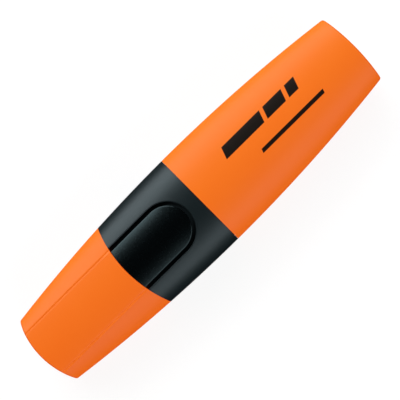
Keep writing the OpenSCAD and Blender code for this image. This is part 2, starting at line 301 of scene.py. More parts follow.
def barrel_grids(around=240, along=90, within=24, rim_steps=5, edge_steps=9, face_steps=14, floor_steps=6):
    """Closed oval shell: front rim, long side, rounded rear edge and rear face, then the inside by itself.

    A line runs along the pen at each angle t: y = half width * cos t, z = half depth * sin t.
    """
    t = np.linspace(0, 2 * math.pi, around, endpoint=False)[:, None]

    def oval(x, inset, outer=True):
        """Lines of the oval at x, drawn in by an inset; the outer ones rest on the floor."""
        z = half_depth(x, inset) * np.sin(t)
        return stacked(x, half_width(x, inset) * np.cos(t), rested(z, inset) if outer else z)

    def rear(y, inset=0.0):
        """Place of the rear face at y: its arc, drawn in by an inset."""
        return arc_place(y, REAR_END - inset, BARREL_END_RADIUS - inset, 1)

    def rear_corner(inset, wall):
        """Where the lines of an oval with an inset meet the rear face, or the inner one a wall before it."""
        return settle(lambda y: rear(y, wall), lambda x: half_width(x, inset) * np.cos(t), REAR_END - wall)

    def end_face(edge, wall, steps):
        """Rear face: the last column of the edge drawn in to its middle, on the end arc."""
        shares = np.linspace(1, 0, steps)[1:]
        y = edge[:, -1:, 1] * shares
        z = (edge[:, -1:, 2] - AXIS_HEIGHT) * shares
        return stacked(rear(y, wall), y, z)

    inner_end = rear_corner(BARREL_WALL, END_WALL)
    inner_x = BARREL_FRONT + (inner_end - BARREL_FRONT) * np.linspace(0, 1, within)
    inner = oval(inner_x, BARREL_WALL, outer=False)
    inner_face = end_face(inner, END_WALL, floor_steps)
    rim_inset, rim_back = rounding(SEAM_EDGE, rim_steps)
    rim = oval(BARREL_FRONT + rim_back, rim_inset)
    corner = rear_corner(0, 0)
    front = BARREL_FRONT + SEAM_EDGE
    side = oval(front + (corner - REAR_EDGE - front) * eased(along), 0)
    edge_back, edge_inset = rounding(REAR_EDGE, edge_steps)
    edge_x = corner - edge_back
    edge_y = half_width(edge_x, edge_inset) * np.cos(t)
    edge_z = half_depth(edge_x, edge_inset) * np.sin(t)
    edge = stacked(rear(edge_y) - edge_back, edge_y, edge_z)
    rear_face = end_face(edge, 0, face_steps)
    outside = np.concatenate((inner[:, :1], rim, side[:, 1:], edge[:, 1:], rear_face), axis=1)
    inside = np.concatenate((inner_face[:, ::-1], inner[:, ::-1]), axis=1)
    return [(outside, 0, True, False), (inside, 1, True, False)]


def rib_grid(x, near, far, side, upright_at=None):
    """Flat rib along the pen: at each x a rectangle of its thickness, from a near to a far reach on one side.

    A level rib reaches across at the height of the axis, an upright one up or down at its place across.
    """
    near, far = (np.broadcast_to(reach, x.shape) for reach in (near, far))
    reach = side * np.stack((near, far, far, near), axis=-1)
    faces = RIB_THICKNESS / 2 * np.array([-1, -1, 1, 1])
    if upright_at is None:
        return capped(stacked(x[:, None], reach, faces))
    return capped(stacked(x[:, None], upright_at + faces, reach))


def store_ribs(side, beside_steps=24, behind_steps=8):
    """Ribs between the ink store and the barrel on one side: a level one, and two upright above or below.

    Each reaches from the film to the middle of the wall, and behind the store from just past the axis.
    """
    beside = np.linspace(nose_high[0] + SLACK, STORE_END, beside_steps)
    across = RIB_SPACING / 2
    inner_edge = across - RIB_THICKNESS / 2
    height = STORE_HALF_DEPTH * math.sqrt(1 - (inner_edge / STORE_HALF) ** 2)

    def runs(reach, end_y):
        """Places along the pen beside and behind the store, and the near reach of a rib at each."""
        end = arc_place(end_y, REAR_END - END_WALL / 2, BARREL_END_RADIUS, 1)
        behind = np.linspace(STORE_END, end, behind_steps)
        near = np.repeat((reach, -RIB_THICKNESS / 4), (beside_steps, behind_steps))
        return np.concatenate((beside, behind)), near

    x, near = runs(STORE_HALF, float(half_width(REAR_END, BARREL_WALL)))
    ribs = [rib_grid(x, near, half_width(x, BARREL_WALL / 2), side)]
    x, near = runs(height, across)
    for place in (-across, across):
        ribs.append(rib_grid(x, near, crown(x, across, BARREL_WALL / 2), side, place))
    return ribs


# Cap end, with its raised panel: crowned across, bowed along

PANEL_SAG = CLIP_CROWN - math.sqrt(CLIP_CROWN ** 2 - PANEL_HALF ** 2)
PANEL_FROM = CAP_END + PANEL_MARGIN
PANEL_MID = (JOINT_AT + PANEL_FROM) / 2


def panel_middle(x):
    """Height of the panel's middle line where its edges stand a step above the oval."""
    return float(crown(x, PANEL_HALF)) + PANEL_STEP + PANEL_SAG


PANEL_CHORD = JOINT_AT - PANEL_FROM
PANEL_CLIMB = panel_middle(JOINT_AT) - panel_middle(PANEL_FROM)
PANEL_BOW = panel_middle(PANEL_MID) - (panel_middle(JOINT_AT) + panel_middle(PANEL_FROM)) / 2
PANEL_RADIUS = (PANEL_CHORD ** 2 + PANEL_CLIMB ** 2) / (8 * PANEL_BOW)
PANEL_TILT = math.atan(PANEL_CLIMB / PANEL_CHORD)


def panel(x, y):
    """Height of the panel: a ring surface of the panel's bow radius, whose section is the clip's crown."""
    centre_x = PANEL_MID + PANEL_RADIUS * math.sin(PANEL_TILT)
    centre_z = panel_middle(PANEL_MID) - PANEL_RADIUS * math.cos(PANEL_TILT)
    reach = PANEL_RADIUS - CLIP_CROWN + np.sqrt(CLIP_CROWN ** 2 - y ** 2)
    return centre_z + np.sqrt(reach ** 2 - (x - centre_x) ** 2)


def tip_grids(side_rows=34, step_rows=9, panel_rows=44, along=80, within=20, edge_steps=7, rim_steps=4,
              face_steps=12, floor_steps=8):
    """Closed cap end: rows go round the section, from one side over the panel to the other and back below.

    Above, a row keeps its y on the panel and in the groove beside it, and a share of the angle from there
    to the side; below, each row mirrors the one above it, so that the end face closes on a line.
    """
    share = np.linspace(0, 1, side_rows) ** 0.8  # wider apart low on the side
    across = np.linspace(1, -1, panel_rows)
    step = np.linspace(0, 1, step_rows + 2)[1:-1]
    on_side, on_step, on_panel = range(3)
    sizes = (side_rows, step_rows, panel_rows, step_rows, side_rows)
    kinds = np.repeat((on_side, on_step, on_panel, on_step, on_side), sizes)[:, None]
    value = np.concatenate((share, step, across, step[::-1], share[::-1]))[:, None]
    left = np.concatenate((np.ones(side_rows + step_rows), np.sign(across),
                           -np.ones(side_rows + step_rows)))[:, None]
    at_side = (kinds == on_side) & (value == 0)

    def lateral(x, inset=0.0):
        """Place across of each row at x, drawn in by an inset."""
        outer = PANEL_HALF + GROOVE_HALF - inset
        inner = PANEL_HALF - GROOVE_HALF - inset
        wide = half_width(x, inset)
        y_side = wide * np.cos(np.arccos(outer / wide) * value)
        y_step = outer + (inner - outer) * value
        return np.where(kinds == on_panel, inner * value, left * np.where(kinds == on_step, y_step, y_side))

    def shoulder(x, y):
        """Small swell that makes the sides steeper beside the panel; it fades out at the joint."""
        near = np.clip(1 - (np.abs(y) - PANEL_HALF - GROOVE_HALF) / SHOULDER_WIDTH, 0, 1)
        return SHOULDER_SWELL * near ** 2 * np.clip((JOINT_AT - x) / SHOULDER_WIDTH, 0, 1)

    def upper(x, y, inset=0.0):
        """Oval with its shoulders, the panel, and between them a step with a groove of sine squared form."""
        dip = GROOVE_DEPTH * np.sin(math.pi * value) ** 2
        body = crown(x, y, inset) + shoulder(x, y)
        flat = panel(x, np.clip(y, -PANEL_HALF, PANEL_HALF)) - inset
        stepped = body + (flat - body) * smooth_step(value) - dip
        return np.where(kinds == on_panel, flat, np.where(kinds == on_step, stepped, body))

    def whole(x, y, inset=0.0, plain=False, squeeze=1.0):
        """Rows above, then their mirror below without the two side rows that both halves share."""
        x, y = np.broadcast_arrays(x, y)
        high = np.where(at_side, 0, crown(x, y, inset) if plain else upper(x, y, inset))
        low = -crown(x, y, inset)
        low = low if plain else rested(low, inset)
        above = stacked(x, y, high * squeeze)
        below = stacked(x, y, low * squeeze)
        return np.concatenate((above, below[-2:0:-1]), axis=0)

    def end(y, inset=0.0):
        """Place of the end face at y: its arc, drawn in by an inset."""
        return arc_place(y, CAP_END + inset, CAP_END_RADIUS - inset, -1)

    def joint(y):
        """Place of the face towards the sleeve at y."""
        return arc_place(y, JOINT_AT - JOINT_GAP, JOINT_RADIUS + JOINT_GAP, -1)

    corner = settle(end, lateral, CAP_END * np.ones_like(value))
    mouth = settle(joint, lateral, JOINT_AT * np.ones_like(value))
    side_x = corner + TIP_EDGE + (mouth - SEAM_EDGE - corner - TIP_EDGE) * eased(along)
    side = whole(side_x, lateral(side_x))
    edge_inset, edge_back = rounding(TIP_EDGE, edge_steps)
    edge_y = lateral(corner + edge_back, edge_inset)
    edge = whole(end(edge_y) + edge_back, edge_y, edge_inset)
    face_y = lateral(corner, TIP_EDGE)
    face = whole(end(face_y), face_y, TIP_EDGE, squeeze=np.linspace(0, 1, face_steps)[:-1])
    rim_back, rim_inset = rounding(SEAM_EDGE, rim_steps)
    rim_y = lateral(mouth, rim_inset)
    rim = whole(joint(rim_y) - rim_back, rim_y, rim_inset)
    inner_front = joint(lateral(mouth, TIP_WALL))
    inner_end = settle(lambda y: end(y, END_WALL), lambda x: lateral(x, TIP_WALL), corner + END_WALL)
    inner_x = inner_front + (inner_end - inner_front) * np.linspace(0, 1, within)
    inner = whole(inner_x, lateral(inner_x, TIP_WALL), TIP_WALL, plain=True)
    floor_y = lateral(inner_end, TIP_WALL)
    floor_shares = np.linspace(1, 0, floor_steps)[1:]
    inner_face = whole(end(floor_y, END_WALL), floor_y, TIP_WALL, plain=True, squeeze=floor_shares)
    outside = np.concatenate((face, edge, side[:, 1:], rim[:, 1:], inner[:, :1]), axis=1)
    inside = np.concatenate((inner, inner_face), axis=1)
    return [(outside, 0, True, False), (inside, 1, True, False)]


def spigot_grid(around=120, along=12):
    """Spigot of the cap end in the sleeve: an oval wall round the sides and below, open above at the pocket.

    Rows go round from one edge of the opening to the other, and each runs out along the outer face and back
    along the inner one.
    """
    opening = POCKET_HALF + POCKET_WALL + SLACK
    x = np.linspace(JOINT_AT - SPIGOT_ROOT, JOINT_AT + SPIGOT_LENGTH, along)
    share = np.linspace(0, 1, around)[:, None]

    def skin(inset):
        """One face between the edges of the opening: y = half width * cos t, z = half depth * sin t."""
        start = np.arccos(opening / half_width(x, inset))
        t = start - (math.pi + 2 * start) * share
        return stacked(x, half_width(x, inset) * np.cos(t), half_depth(x, inset) * np.sin(t))

    outer = CAP_WALL + JOINT_GAP
    return capped(np.concatenate((skin(outer), skin(outer + SPIGOT_WALL)[:, ::-1]), axis=1))


def socket_rib(side, along=16):
    """Rib from the socket of the inner cap to a side wall of the cap end."""
    x = np.linspace(SOCKET_BACK, SOCKET_MOUTH - SOCKET_BARE, along)
    return rib_grid(x, SOCKET_BORE + SOCKET_WALL / 2, half_width(x, TIP_WALL / 2), side)


# Sleeve and clip of the cap

def pocket_reach(x, y):
    """Distance of a place on the broad face outside the pocket's outline: a tongue with a round end."""
    ahead = np.maximum(x - CLIP_ROUND, 0)
    return np.hypot(ahead, y) - POCKET_HALF


def shell_grid(side_rows=30, lip_rows=5, wall_rows=4, pocket_rows=61, below_rows=90, run_columns=40,
               brow_columns=30, rim_steps=5, inner_columns=60):
    """Closed cap sleeve with the clip's pocket: a grid that closes on itself both ways.

    Rows go round the section: sides, the lip and wall of the pocket, its floor, and back below. Columns go
    from the joint to the mouth outside, with the pocket's round end wall between, and return inside.
    """
    lip_inset, lip_run = rounding(1, lip_rows)
    floor_y = POCKET_HALF * np.cos(np.linspace(0, math.pi, pocket_rows))
    lip_y = POCKET_HALF + POCKET_LIP * lip_inset[:-1]
    rise = np.linspace(1, 0, wall_rows + 1)[:-1]
    share = eased(side_rows, 1.3)[:-1]
    angle = np.linspace(math.pi, 2 * math.pi, below_rows)[:-1]
    side, lip, wall, floor, below = range(5)
    sizes = (side_rows - 1, lip_rows - 1, wall_rows, pocket_rows, wall_rows, lip_rows - 1, side_rows - 1,
             below_rows - 1)
    kinds = np.repeat((side, lip, wall, floor, wall, lip, side, below), sizes)[:, None]
    value = np.concatenate((share, lip_y, rise, floor_y, rise[::-1], lip_y[::-1], share[::-1],
                            angle))[:, None]
    left = np.repeat((1, 1, 1, 1, -1, -1, -1, 1), sizes)[:, None]

    def lateral(x, inset=0.0):
        """Place across of each row at x: on the oval, the lip, the wall or the floor of the pocket."""
        wide = half_width(x, inset)
        outer = POCKET_HALF + POCKET_LIP
        y_side = left * wide * np.cos(np.arccos(np.clip(outer / wide, -1, 1)) * value)
        y = np.where(kinds == side, y_side, left * value)
        y = np.where(kinds == floor, value, y)
        y = np.where(kinds == wall, left * POCKET_HALF, y)
        return np.where(kinds == below, wide * np.cos(value), y)

    def outside(x, y, inset=0.0):
        """Height outside: the oval, rounded down at the pocket's lip, and rested on the floor below."""
        high = crown(x, y, inset) - edge_drop(pocket_reach(x, y), POCKET_LIP)
        return np.where(kinds == below, rested(-crown(x, y, inset), inset), high)

    def pocket(x, y, climb):
        """Floor of the pocket, or a height on its wall, for the rows inside the outline."""
        base = crown(x, y, POCKET_DEPTH)
        top = crown(x, y) - POCKET_LIP
        inside = (kinds == floor) | (kinds == wall)
        up = np.maximum(np.where(kinds == wall, value, 0), climb)
        return np.where(inside, base + (top - base) * up, outside(x, y))

    def boss(x, y):
        """Inset of the inner wall, deeper behind the pocket and easing out beside it."""
        ease = smooth_step(np.clip((pocket_reach(x, y) - BOSS_EASE_FROM) / BOSS_EASE_RUN, 0, 1))
        ease = np.where(kinds == below, 1, ease)
        return CAP_WALL + (POCKET_DEPTH + POCKET_WALL - CAP_WALL) * (1 - ease)

    def joint(y):
        """Place of the face towards the cap end at y."""
        return arc_place(y, JOINT_AT, JOINT_RADIUS, -1)

    start = settle(joint, lateral, JOINT_AT * np.ones_like(value))
    near_y = np.where(kinds == below, HALF_WIDTH, lateral(np.full_like(value, CLIP_ROUND)))
    pocket_end = CLIP_ROUND + np.sqrt(np.clip(POCKET_HALF ** 2 - near_y ** 2, 0, None))
    lip_end = CLIP_ROUND + np.sqrt(np.clip((POCKET_HALF + POCKET_LIP) ** 2 - near_y ** 2, 0, None))
    run_x = start + (pocket_end - start) * eased(run_columns, 1.3)
    run = stacked(run_x, lateral(run_x), pocket(run_x, lateral(run_x), 0))
    wall_y = lateral(pocket_end)
    climbs = np.linspace(0, 1, wall_rows + 1)[1:]
    walls = stacked(pocket_end, wall_y, pocket(pocket_end, wall_y, climbs))
    lip_x = pocket_end + (lip_end - pocket_end) * lip_run[1:]
    lips = stacked(lip_x, lateral(lip_x), outside(lip_x, lateral(lip_x)))
    brow_x = lip_end + (CAP_MOUTH - SEAM_EDGE - lip_end) * eased(brow_columns)[1:]
    brow = stacked(brow_x, lateral(brow_x), outside(brow_x, lateral(brow_x)))
    rim_back, rim_inset = (part[1:] for part in rounding(SEAM_EDGE, rim_steps))
    rim_x = CAP_MOUTH - rim_back
    rim_y = lateral(rim_x, rim_inset)
    rim = stacked(rim_x, rim_y, outside(rim_x, rim_y, rim_inset))
    inner_x = CAP_MOUTH + (start - CAP_MOUTH) * eased(inner_columns, 1.2)
    inner_y = lateral(inner_x, CAP_WALL) + np.where(kinds == wall, left * value * POCKET_SPREAD, 0)
    inner_z = crown(inner_x, inner_y, boss(inner_x, inner_y)) * np.where(kinds == below, -1, 1)
    inner = stacked(inner_x, inner_y, inner_z)
    return np.concatenate((run, walls, lips, brow, rim, inner), axis=1)


CLIP_TOP = float(half_depth(JOINT_AT, POCKET_DEPTH)) + CLIP_THICKNESS + CLIP_ROOT_GAP
CLIP_SLOPE = (float(half_depth(CLIP_END)) + CLIP_RISE - CLIP_TOP) / (CLIP_END - JOINT_AT)


def clip_face(x, y, drop=0.0):
    """Height of the clip's crown, or of the same crown a thickness below: a tilted cylinder."""
    radius = CLIP_CROWN - drop
    sag = CLIP_CROWN - np.sqrt(radius ** 2 - y ** 2)
    return CLIP_TOP + (x - JOINT_AT) * CLIP_SLOPE - sag * math.hypot(1, CLIP_SLOPE)


def clip_grid(straight=40, turn=64, steps=30):
    """Closed tongue: stations run along its outline, and at each one a line crosses the top from the middle
    out to the edge, rounds it, goes down the side and returns below to the middle.

    The top rolls down towards the edge by drop * (1 - 1.5 s + 0.5 s^3), at the share s of the roll's width.
    """
    run = eased(straight, 1.3)
    beta = np.linspace(0, math.pi, turn)[1:-1]
    is_round = np.repeat((False, True, False), (straight, turn - 2, straight))[:, None]
    u = np.concatenate((run, 0 * beta + 1, run[::-1]))[:, None]
    b = np.concatenate((0 * run, beta, 0 * run + math.pi))[:, None]
    side = np.sign(np.cos(b))
    inset = CLIP_HALF * (1 - np.sin(quarter(steps)) ** 0.7)  # closer together at the edge
    out = CLIP_HALF - inset
    y = np.where(is_round, out * np.cos(b), side * out)
    root = arc_place(y, JOINT_AT + JOINT_GAP, JOINT_RADIUS - JOINT_GAP, -1)
    x = np.where(is_round, CLIP_ROUND + out * np.sin(b), root + (CLIP_ROUND - root) * u)
    share = np.clip(inset / CLIP_ROLL_WIDTH, 0, 1)
    roll = CLIP_ROLL_DROP * (1 - 1.5 * share + 0.5 * share ** 3) + edge_drop(inset, CLIP_EDGE)
    top = clip_face(x, y) - np.maximum(roll, edge_drop(x - root, SEAM_EDGE))
    seat = crown(x, y, POCKET_DEPTH - JOINT_GAP)
    below = np.where(x < JOINT_AT + CLIP_ROOT, seat, clip_face(x, y, CLIP_THICKNESS))
    return capped(np.concatenate((stacked(x, y, top), stacked(x, y, below)[:, ::-1]), axis=1))


def ridge_grid(along=40, around=24):
    """Gripping ridge below the clip: a round bar across it, with round ends, half sunk into the clip."""
    place = CLIP_END - RIDGE_SETBACK
    v = np.linspace(-math.pi / 2, math.pi / 2, along)[:, None]
    w = np.linspace(0, 2 * math.pi, around, endpoint=False)
    ball = RIDGE_RADIUS * np.cos(v)
    y = RIDGE_RADIUS * np.sin(v) + (RIDGE_LENGTH / 2 - RIDGE_RADIUS) * np.sign(v)
    z = clip_face(place, y, CLIP_THICKNESS) + ball * np.sin(w)
    return stacked(place + ball * np.cos(w), y, z)


# Pieces of rings: front section, nib, inner cap and its socket

def ring_grid(stations, around=128, slant=0.0):
    """Closed solid of rings across the pen: |y / a|^n + |z / b|^n = 1 at each station (x, a, b, n).

    A slant leans the rings forward on one side, in proportion to y.
    """
    t = np.linspace(0, 2 * math.pi, around, endpoint=False)[:, None]
    x, a, b, n = np.array(stations).T
    y = a * np.sign(np.cos(t)) * np.abs(np.cos(t)) ** (2 / n)
    z = b * np.sign(np.sin(t)) * np.abs(np.sin(t)) ** (2 / n)
    return stacked(x + slant * y, y, z)


def disc(x, radius):
    """Round station of a solid of rings."""
    return (x, radius, radius, 2)


def front_stations():
    """Rings of the front section: nib hole, nose, seal zone, neck, shoulder, two collar steps, spigot."""
    nose = nose_low[0]
    seal = nose + NOSE_LENGTH
    neck = seal + SEAL_LENGTH
    shoulder = CAP_MOUTH - COLLAR_LENGTH
    rear = nose_high[0]
    edge = FRONT_EDGE
    hole_half = NIB_HALF + NIB_HOLE_GAP
    hole_half_depth = NIB_HALF_DEPTH + NIB_HOLE_GAP
    guide = POCKET_DEPTH + POCKET_WALL + CAP_GAP
    seat = CAP_WALL + CAP_GAP
    spigot = BARREL_WALL + JOINT_GAP
    hollow = spigot + FRONT_WALL

    def oval(x, inset):
        """Station on the oval of the body, drawn in by an inset."""
        return (x, float(half_width(x, inset)), float(half_depth(x, inset)), 2)

    stations = [disc(nose + NIB_HOLE_DEPTH, 0)]
    stations += [(x, hole_half, hole_half_depth, NIB_SQUARE) for x in (nose + NIB_HOLE_DEPTH, nose + edge)]
    stations += [(nose, hole_half + edge / 2, hole_half_depth + edge / 2, NIB_SQUARE)]
    stations += [disc(nose + back, NOSE_RADIUS - drawn) for drawn, back in zip(*rounding(edge, 5))]
    stations += [disc(seal - edge, SEAL_RADIUS - SEAL_LEAD), disc(seal + edge, SEAL_RADIUS)]
    stations += [disc(neck - edge, SEAL_RADIUS), disc(neck + edge, SEAL_RADIUS + SEAL_STEP)]
    stations += [disc(shoulder - back, NECK_RADIUS + out) for back, out in zip(*rounding(NECK_BLEND, 6))]
    stations += [oval(shoulder + back, guide + drawn) for drawn, back in zip(*rounding(edge, 5))]
    stations += [oval(COLLAR_STEP - edge, guide), oval(COLLAR_STEP, guide - edge / 2)]
    stations += [oval(COLLAR_STEP + back, seat + drawn) for drawn, back in zip(*rounding(edge, 5))]
    stations += [oval(BARREL_FRONT, seat), oval(BARREL_FRONT + SEAM_EDGE, spigot)]
    stations += [oval(rear - edge, spigot), oval(rear, spigot + edge)]
    stations += [oval(rear, hollow), oval(RESERVOIR_STOP, hollow), disc(RESERVOIR_STOP, 0)]
    return stations


def nib_stations():
    """Rings of the nib: a squared rod whose front narrows to the writing edge."""
    front = nib_low[0] + NIB_SLANT / 2
    taper = front + 2 * NIB_SLANT
    sizes = [(nib_high[0], NIB_HALF, NIB_HALF_DEPTH), (taper + NIB_EDGE, NIB_HALF, NIB_HALF_DEPTH)]
    sizes += [(taper - NIB_EDGE, NIB_HALF, NIB_HALF_DEPTH - NIB_TAPER_SOFTNESS)]
    sizes += [(front + back, NIB_HALF - drawn, NIB_EDGE_HALF - drawn)
              for back, drawn in zip(*rounding(NIB_EDGE, 5))]
    sizes += [(front, (NIB_HALF - NIB_EDGE) * share, (NIB_EDGE_HALF - NIB_EDGE) * share)
              for share in (0.6, 0.3, 0)]
    return [disc(nib_high[0], 0)] + [(*size, NIB_SQUARE) for size in sizes]


def liner_stations():
    """Rings of the inner cap: closed end, outer wall, lip, inner wall and inner end."""
    closed, mouth = liner_low[0], liner_high[0]
    outer = liner_high[1]
    bore = outer - LINER_WALL
    floor = closed + LINER_FLOOR
    stations = [disc(closed, 0)]
    stations += [disc(closed + back, outer - drawn) for drawn, back in zip(*rounding(LINER_EDGE, 5))]
    stations += [disc(mouth - LIP_EDGE, outer), disc(mouth, outer - LIP_EDGE)]
    stations += [disc(mouth, bore + LIP_EDGE / 2), disc(mouth - LIP_EDGE, bore)]
    stations += [disc(floor + LINER_EDGE, bore), disc(floor, bore - LINER_EDGE), disc(floor, 0)]
    return stations


def socket_stations():
    """Rings of the socket that holds the inner cap: ledge, outer wall, mouth and bore, closed to a loop."""
    outer = SOCKET_BORE + SOCKET_WALL
    hole = SOCKET_BORE - SOCKET_LEDGE
    floor = liner_low[0] - JOINT_GAP
    stations = [disc(SOCKET_BACK, hole), disc(SOCKET_BACK, outer)]
    stations += [disc(SOCKET_MOUTH - LIP_EDGE, outer), disc(SOCKET_MOUTH, outer - LIP_EDGE)]
    stations += [disc(SOCKET_MOUTH, SOCKET_BORE + LIP_EDGE), disc(SOCKET_MOUTH - LIP_EDGE, SOCKET_BORE)]
    stations += [disc(floor, SOCKET_BORE), disc(floor, hole)]
    return stations


# Materials

# Sockets of the mix node that take its two colours and give the mixed one
MIX_FIRST, MIX_SECOND, MIX_RESULT = 6, 7, 2


def linear(hex_colour):
    """Linear RGBA of an sRGB hex colour."""
    parts = [int(hex_colour[i:i + 2], 16) / 255 for i in (1, 3, 5)]
    return [c / 12.92 if c <= 0.04045 else ((c + 0.055) / 1.055) ** 2.4 for c in parts] + [1]


def add(tree, kind, inputs=(), **settings):
    """A node with its settings, and its inputs as values or as the sockets that feed them."""
    node = tree.nodes.new(kind)
    for key, value in settings.items():
        setattr(node, key, value)
    for key, value in dict(inputs).items():
        if isinstance(value, bpy.types.NodeSocket):
            tree.links.new(value, node.inputs[key])
        else:
            node.inputs[key].default_value = value
    return node


def start_material(name):
    """An empty material with its principled shader, its output and the object's own coordinates."""
    material = bpy.data.materials.new(name)
    material.use_nodes = True
    tree = material.node_tree
    tree.nodes.clear()
    shader = add(tree, "ShaderNodeBsdfPrincipled")
    add(tree, "ShaderNodeOutputMaterial", {"Surface": shader.outputs["BSDF"]})
    place = add(tree, "ShaderNodeTexCoord").outputs["Object"]
    return material, tree, shader, place


def moulded_plastic(name, light, dark, roughness, grain_mm, grain_depth, shine=0.5, tint="#FFFFFF", painted_glow=None,
                    flow_mm=9.0):
    """Injection moulded plastic: two close tones that drift over some millimetres, as pigment does in the
    melt, and the even grain of a spark-eroded mould in the bump and the gloss, drawn coarser than the real
    one so that it shows. A glow is painted light: a red emission added to the plastic's colour, so that
    it hardly dims in the shade.
    """
    material, tree, shader, place = start_material(name)
    drift = add(tree, "ShaderNodeTexNoise", {"Vector": place, "Scale": 1 / (flow_mm * MM), "Detail": 2})
    grain = add(tree, "ShaderNodeTexNoise", {"Vector": place, "Scale": 1 / (grain_mm * MM), "Detail": 3})
    tone = add(tree, "ShaderNodeMix", {0: drift.outputs["Fac"], MIX_FIRST: linear(light),
                                       MIX_SECOND: linear(dark)}, data_type="RGBA")
    gloss = add(tree, "ShaderNodeMapRange",
                {"Value": grain.outputs["Fac"], "From Min": 0.3, "From Max": 0.7,
                 "To Min": 0.92 * roughness, "To Max": 1.08 * roughness})
    bump = add(tree, "ShaderNodeBump", {"Height": grain.outputs["Fac"], "Strength": 0.5,
                                        "Distance": grain_depth * MM})
    tree.links.new(tone.outputs[MIX_RESULT], shader.inputs["Base Color"])
    tree.links.new(gloss.outputs["Result"], shader.inputs["Roughness"])
    tree.links.new(bump.outputs["Normal"], shader.inputs["Normal"])
    shader.inputs["IOR"].default_value = 1.49
    shader.inputs["Specular IOR Level"].default_value = shine
    shader.inputs["Specular Tint"].default_value = linear(tint)
    # Painted glow: an emission that stands in for light where the surface lies in shade
    if painted_glow:
        shader.inputs["Emission Color"].default_value = linear(painted_glow)
        shader.inputs["Emission Strength"].default_value = 1
    return material


def between(tree, value, limits, soft=0.05 * MM):
    """Mask socket that is one where a value lies between two limits, with a soft edge to either side."""
    low, high = limits
    rise = add(tree, "ShaderNodeMapRange", {"Value": value, "From Min": low - soft, "From Max": low + soft})
    fall = add(tree, "ShaderNodeMapRange", {"Value": value, "From Min": high + soft, "From Max": high - soft})
    both = add(tree, "ShaderNodeMath", {0: rise.outputs["Result"], 1: fall.outputs["Result"]},
               operation="MULTIPLY")
    return both.outputs[0]


def print_on(material, ink, bars, lean):
    """Screen print on the upper side of a moulded piece: flat bars of dark ink, where the painted glow is
    left out.

    Each bar is its span along the pen and its span across; the lean shifts it along by a share of y.
    """
    tree = material.node_tree
    shader = next(node for node in tree.nodes if node.type == "BSDF_PRINCIPLED")
    place = next(node for node in tree.nodes if node.type == "TEX_COORD").outputs["Object"]
    split = add(tree, "ShaderNodeSeparateXYZ", {"Vector": place})
    leaning = add(tree, "ShaderNodeMath", {0: split.outputs["Y"], 1: -lean, 2: split.outputs["X"]},
                  operation="MULTIPLY_ADD").outputs[0]
    upper = add(tree, "ShaderNodeMath", {0: split.outputs["Z"], 1: AXIS_HEIGHT}, operation="GREATER_THAN")
    mask = 0
    for along, across in bars:
        bar = add(tree, "ShaderNodeMath", {0: between(tree, leaning, along),
                                           1: between(tree, split.outputs["Y"], across)},
                  operation="MULTIPLY")
        mask = add(tree, "ShaderNodeMath", {0: mask, 1: bar.outputs[0]}, operation="MAXIMUM").outputs[0]
    mask = add(tree, "ShaderNodeMath", {0: mask, 1: upper.outputs[0]}, operation="MULTIPLY").outputs[0]
    plastic = shader.inputs["Base Color"].links[0].from_socket
    # Colour of the painted glow, which the ink leaves out
    painted_glow = list(shader.inputs["Emission Color"].default_value)
    for socket, bare, inked in (("Base Color", plastic, ink), ("Emission Color", painted_glow, "#000000")):
        colour = add(tree, "ShaderNodeMix", {0: mask, MIX_FIRST: bare, MIX_SECOND: linear(inked)},
                     data_type="RGBA")
        tree.links.new(colour.outputs[MIX_RESULT], shader.inputs[socket])


def fibre(name, light, dark, strand_mm):
    """Bonded fibre soaked with ink: strands along the pen that vary in tone and stand up a little, drawn
    coarser than the real ones so that they show.
    """
    material, tree, shader, place = start_material(name)
    along = add(tree, "ShaderNodeMapping", {"Vector": place, "Scale": (0.06, 1, 1)})
    strands = add(tree, "ShaderNodeTexNoise", {"Vector": along.outputs["Vector"],
                                               "Scale": 1 / (strand_mm * MM), "Detail": 3})
    tone = add(tree, "ShaderNodeMix", {0: strands.outputs["Fac"], MIX_FIRST: linear(light),
                                       MIX_SECOND: linear(dark)}, data_type="RGBA")
    bump = add(tree, "ShaderNodeBump", {"Height": strands.outputs["Fac"], "Strength": 0.8,
                                        "Distance": 0.06 * MM})
    tree.links.new(tone.outputs[MIX_RESULT], shader.inputs["Base Color"])
    tree.links.new(bump.outputs["Normal"], shader.inputs["Normal"])
    shader.inputs["Roughness"].default_value = 0.85
    return material


# Fluorescent orange polypropylene: soft and matt, with a painted glow that keeps it as vivid in the shade as
# in the light
ORANGE_FINISH = {"roughness": 0.48, "grain_mm": 0.5, "grain_depth": 0.008, "shine": 0.18}
# Painted glow: red emission on the outer orange faces, which keeps them from dimming in the shade
PAINTED_GLOW = "#BA2600"
barrel_orange = moulded_plastic("orange_polypropylene_painted_glow", "#A0661B", "#A06318", **ORANGE_FINISH,
                                painted_glow=PAINTED_GLOW)
cap_orange = moulded_plastic("cap_orange_polypropylene_painted_glow", "#A0641A", "#A06117", **ORANGE_FINISH, painted_glow=PAINTED_GLOW)
# The same plastic inside, in its plain colour without the painted glow of the outer faces
barrel_inside = moulded_plastic("barrel_inside_polypropylene", "#E88A2E", "#E4852A", **ORANGE_FINISH)
cap_inside = moulded_plastic("cap_inside_polypropylene", "#E8842C", "#E48028", **ORANGE_FINISH)

# Black screen print on the barrel: three leaning blocks over a thin line
MARK_BLOCKS = ((12 * MM, 25.4 * MM), (26.6 * MM, 33.1 * MM), (34.3 * MM, 37.6 * MM))
MARK_BLOCKS_ACROSS = (2.1 * MM, 5.3 * MM)
MARK_LINE = (21.6 * MM, 43.4 * MM)
MARK_LINE_ACROSS = (-3.3 * MM, -2.2 * MM)
MARK_LEAN = 0.35
mark_bars = [(along, MARK_BLOCKS_ACROSS) for along in MARK_BLOCKS] + [(MARK_LINE, MARK_LINE_ACROSS)]
print_on(barrel_orange, "#120C08", mark_bars, MARK_LEAN)

# Satin black of the sleeve: dark grey under a broad, cool sheen
satin_black = moulded_plastic("satin_black_polypropylene", "#0F1719", "#0D1416", roughness=0.43, grain_mm=0.4,
                              grain_depth=0.01, tint="#E4F8FF")
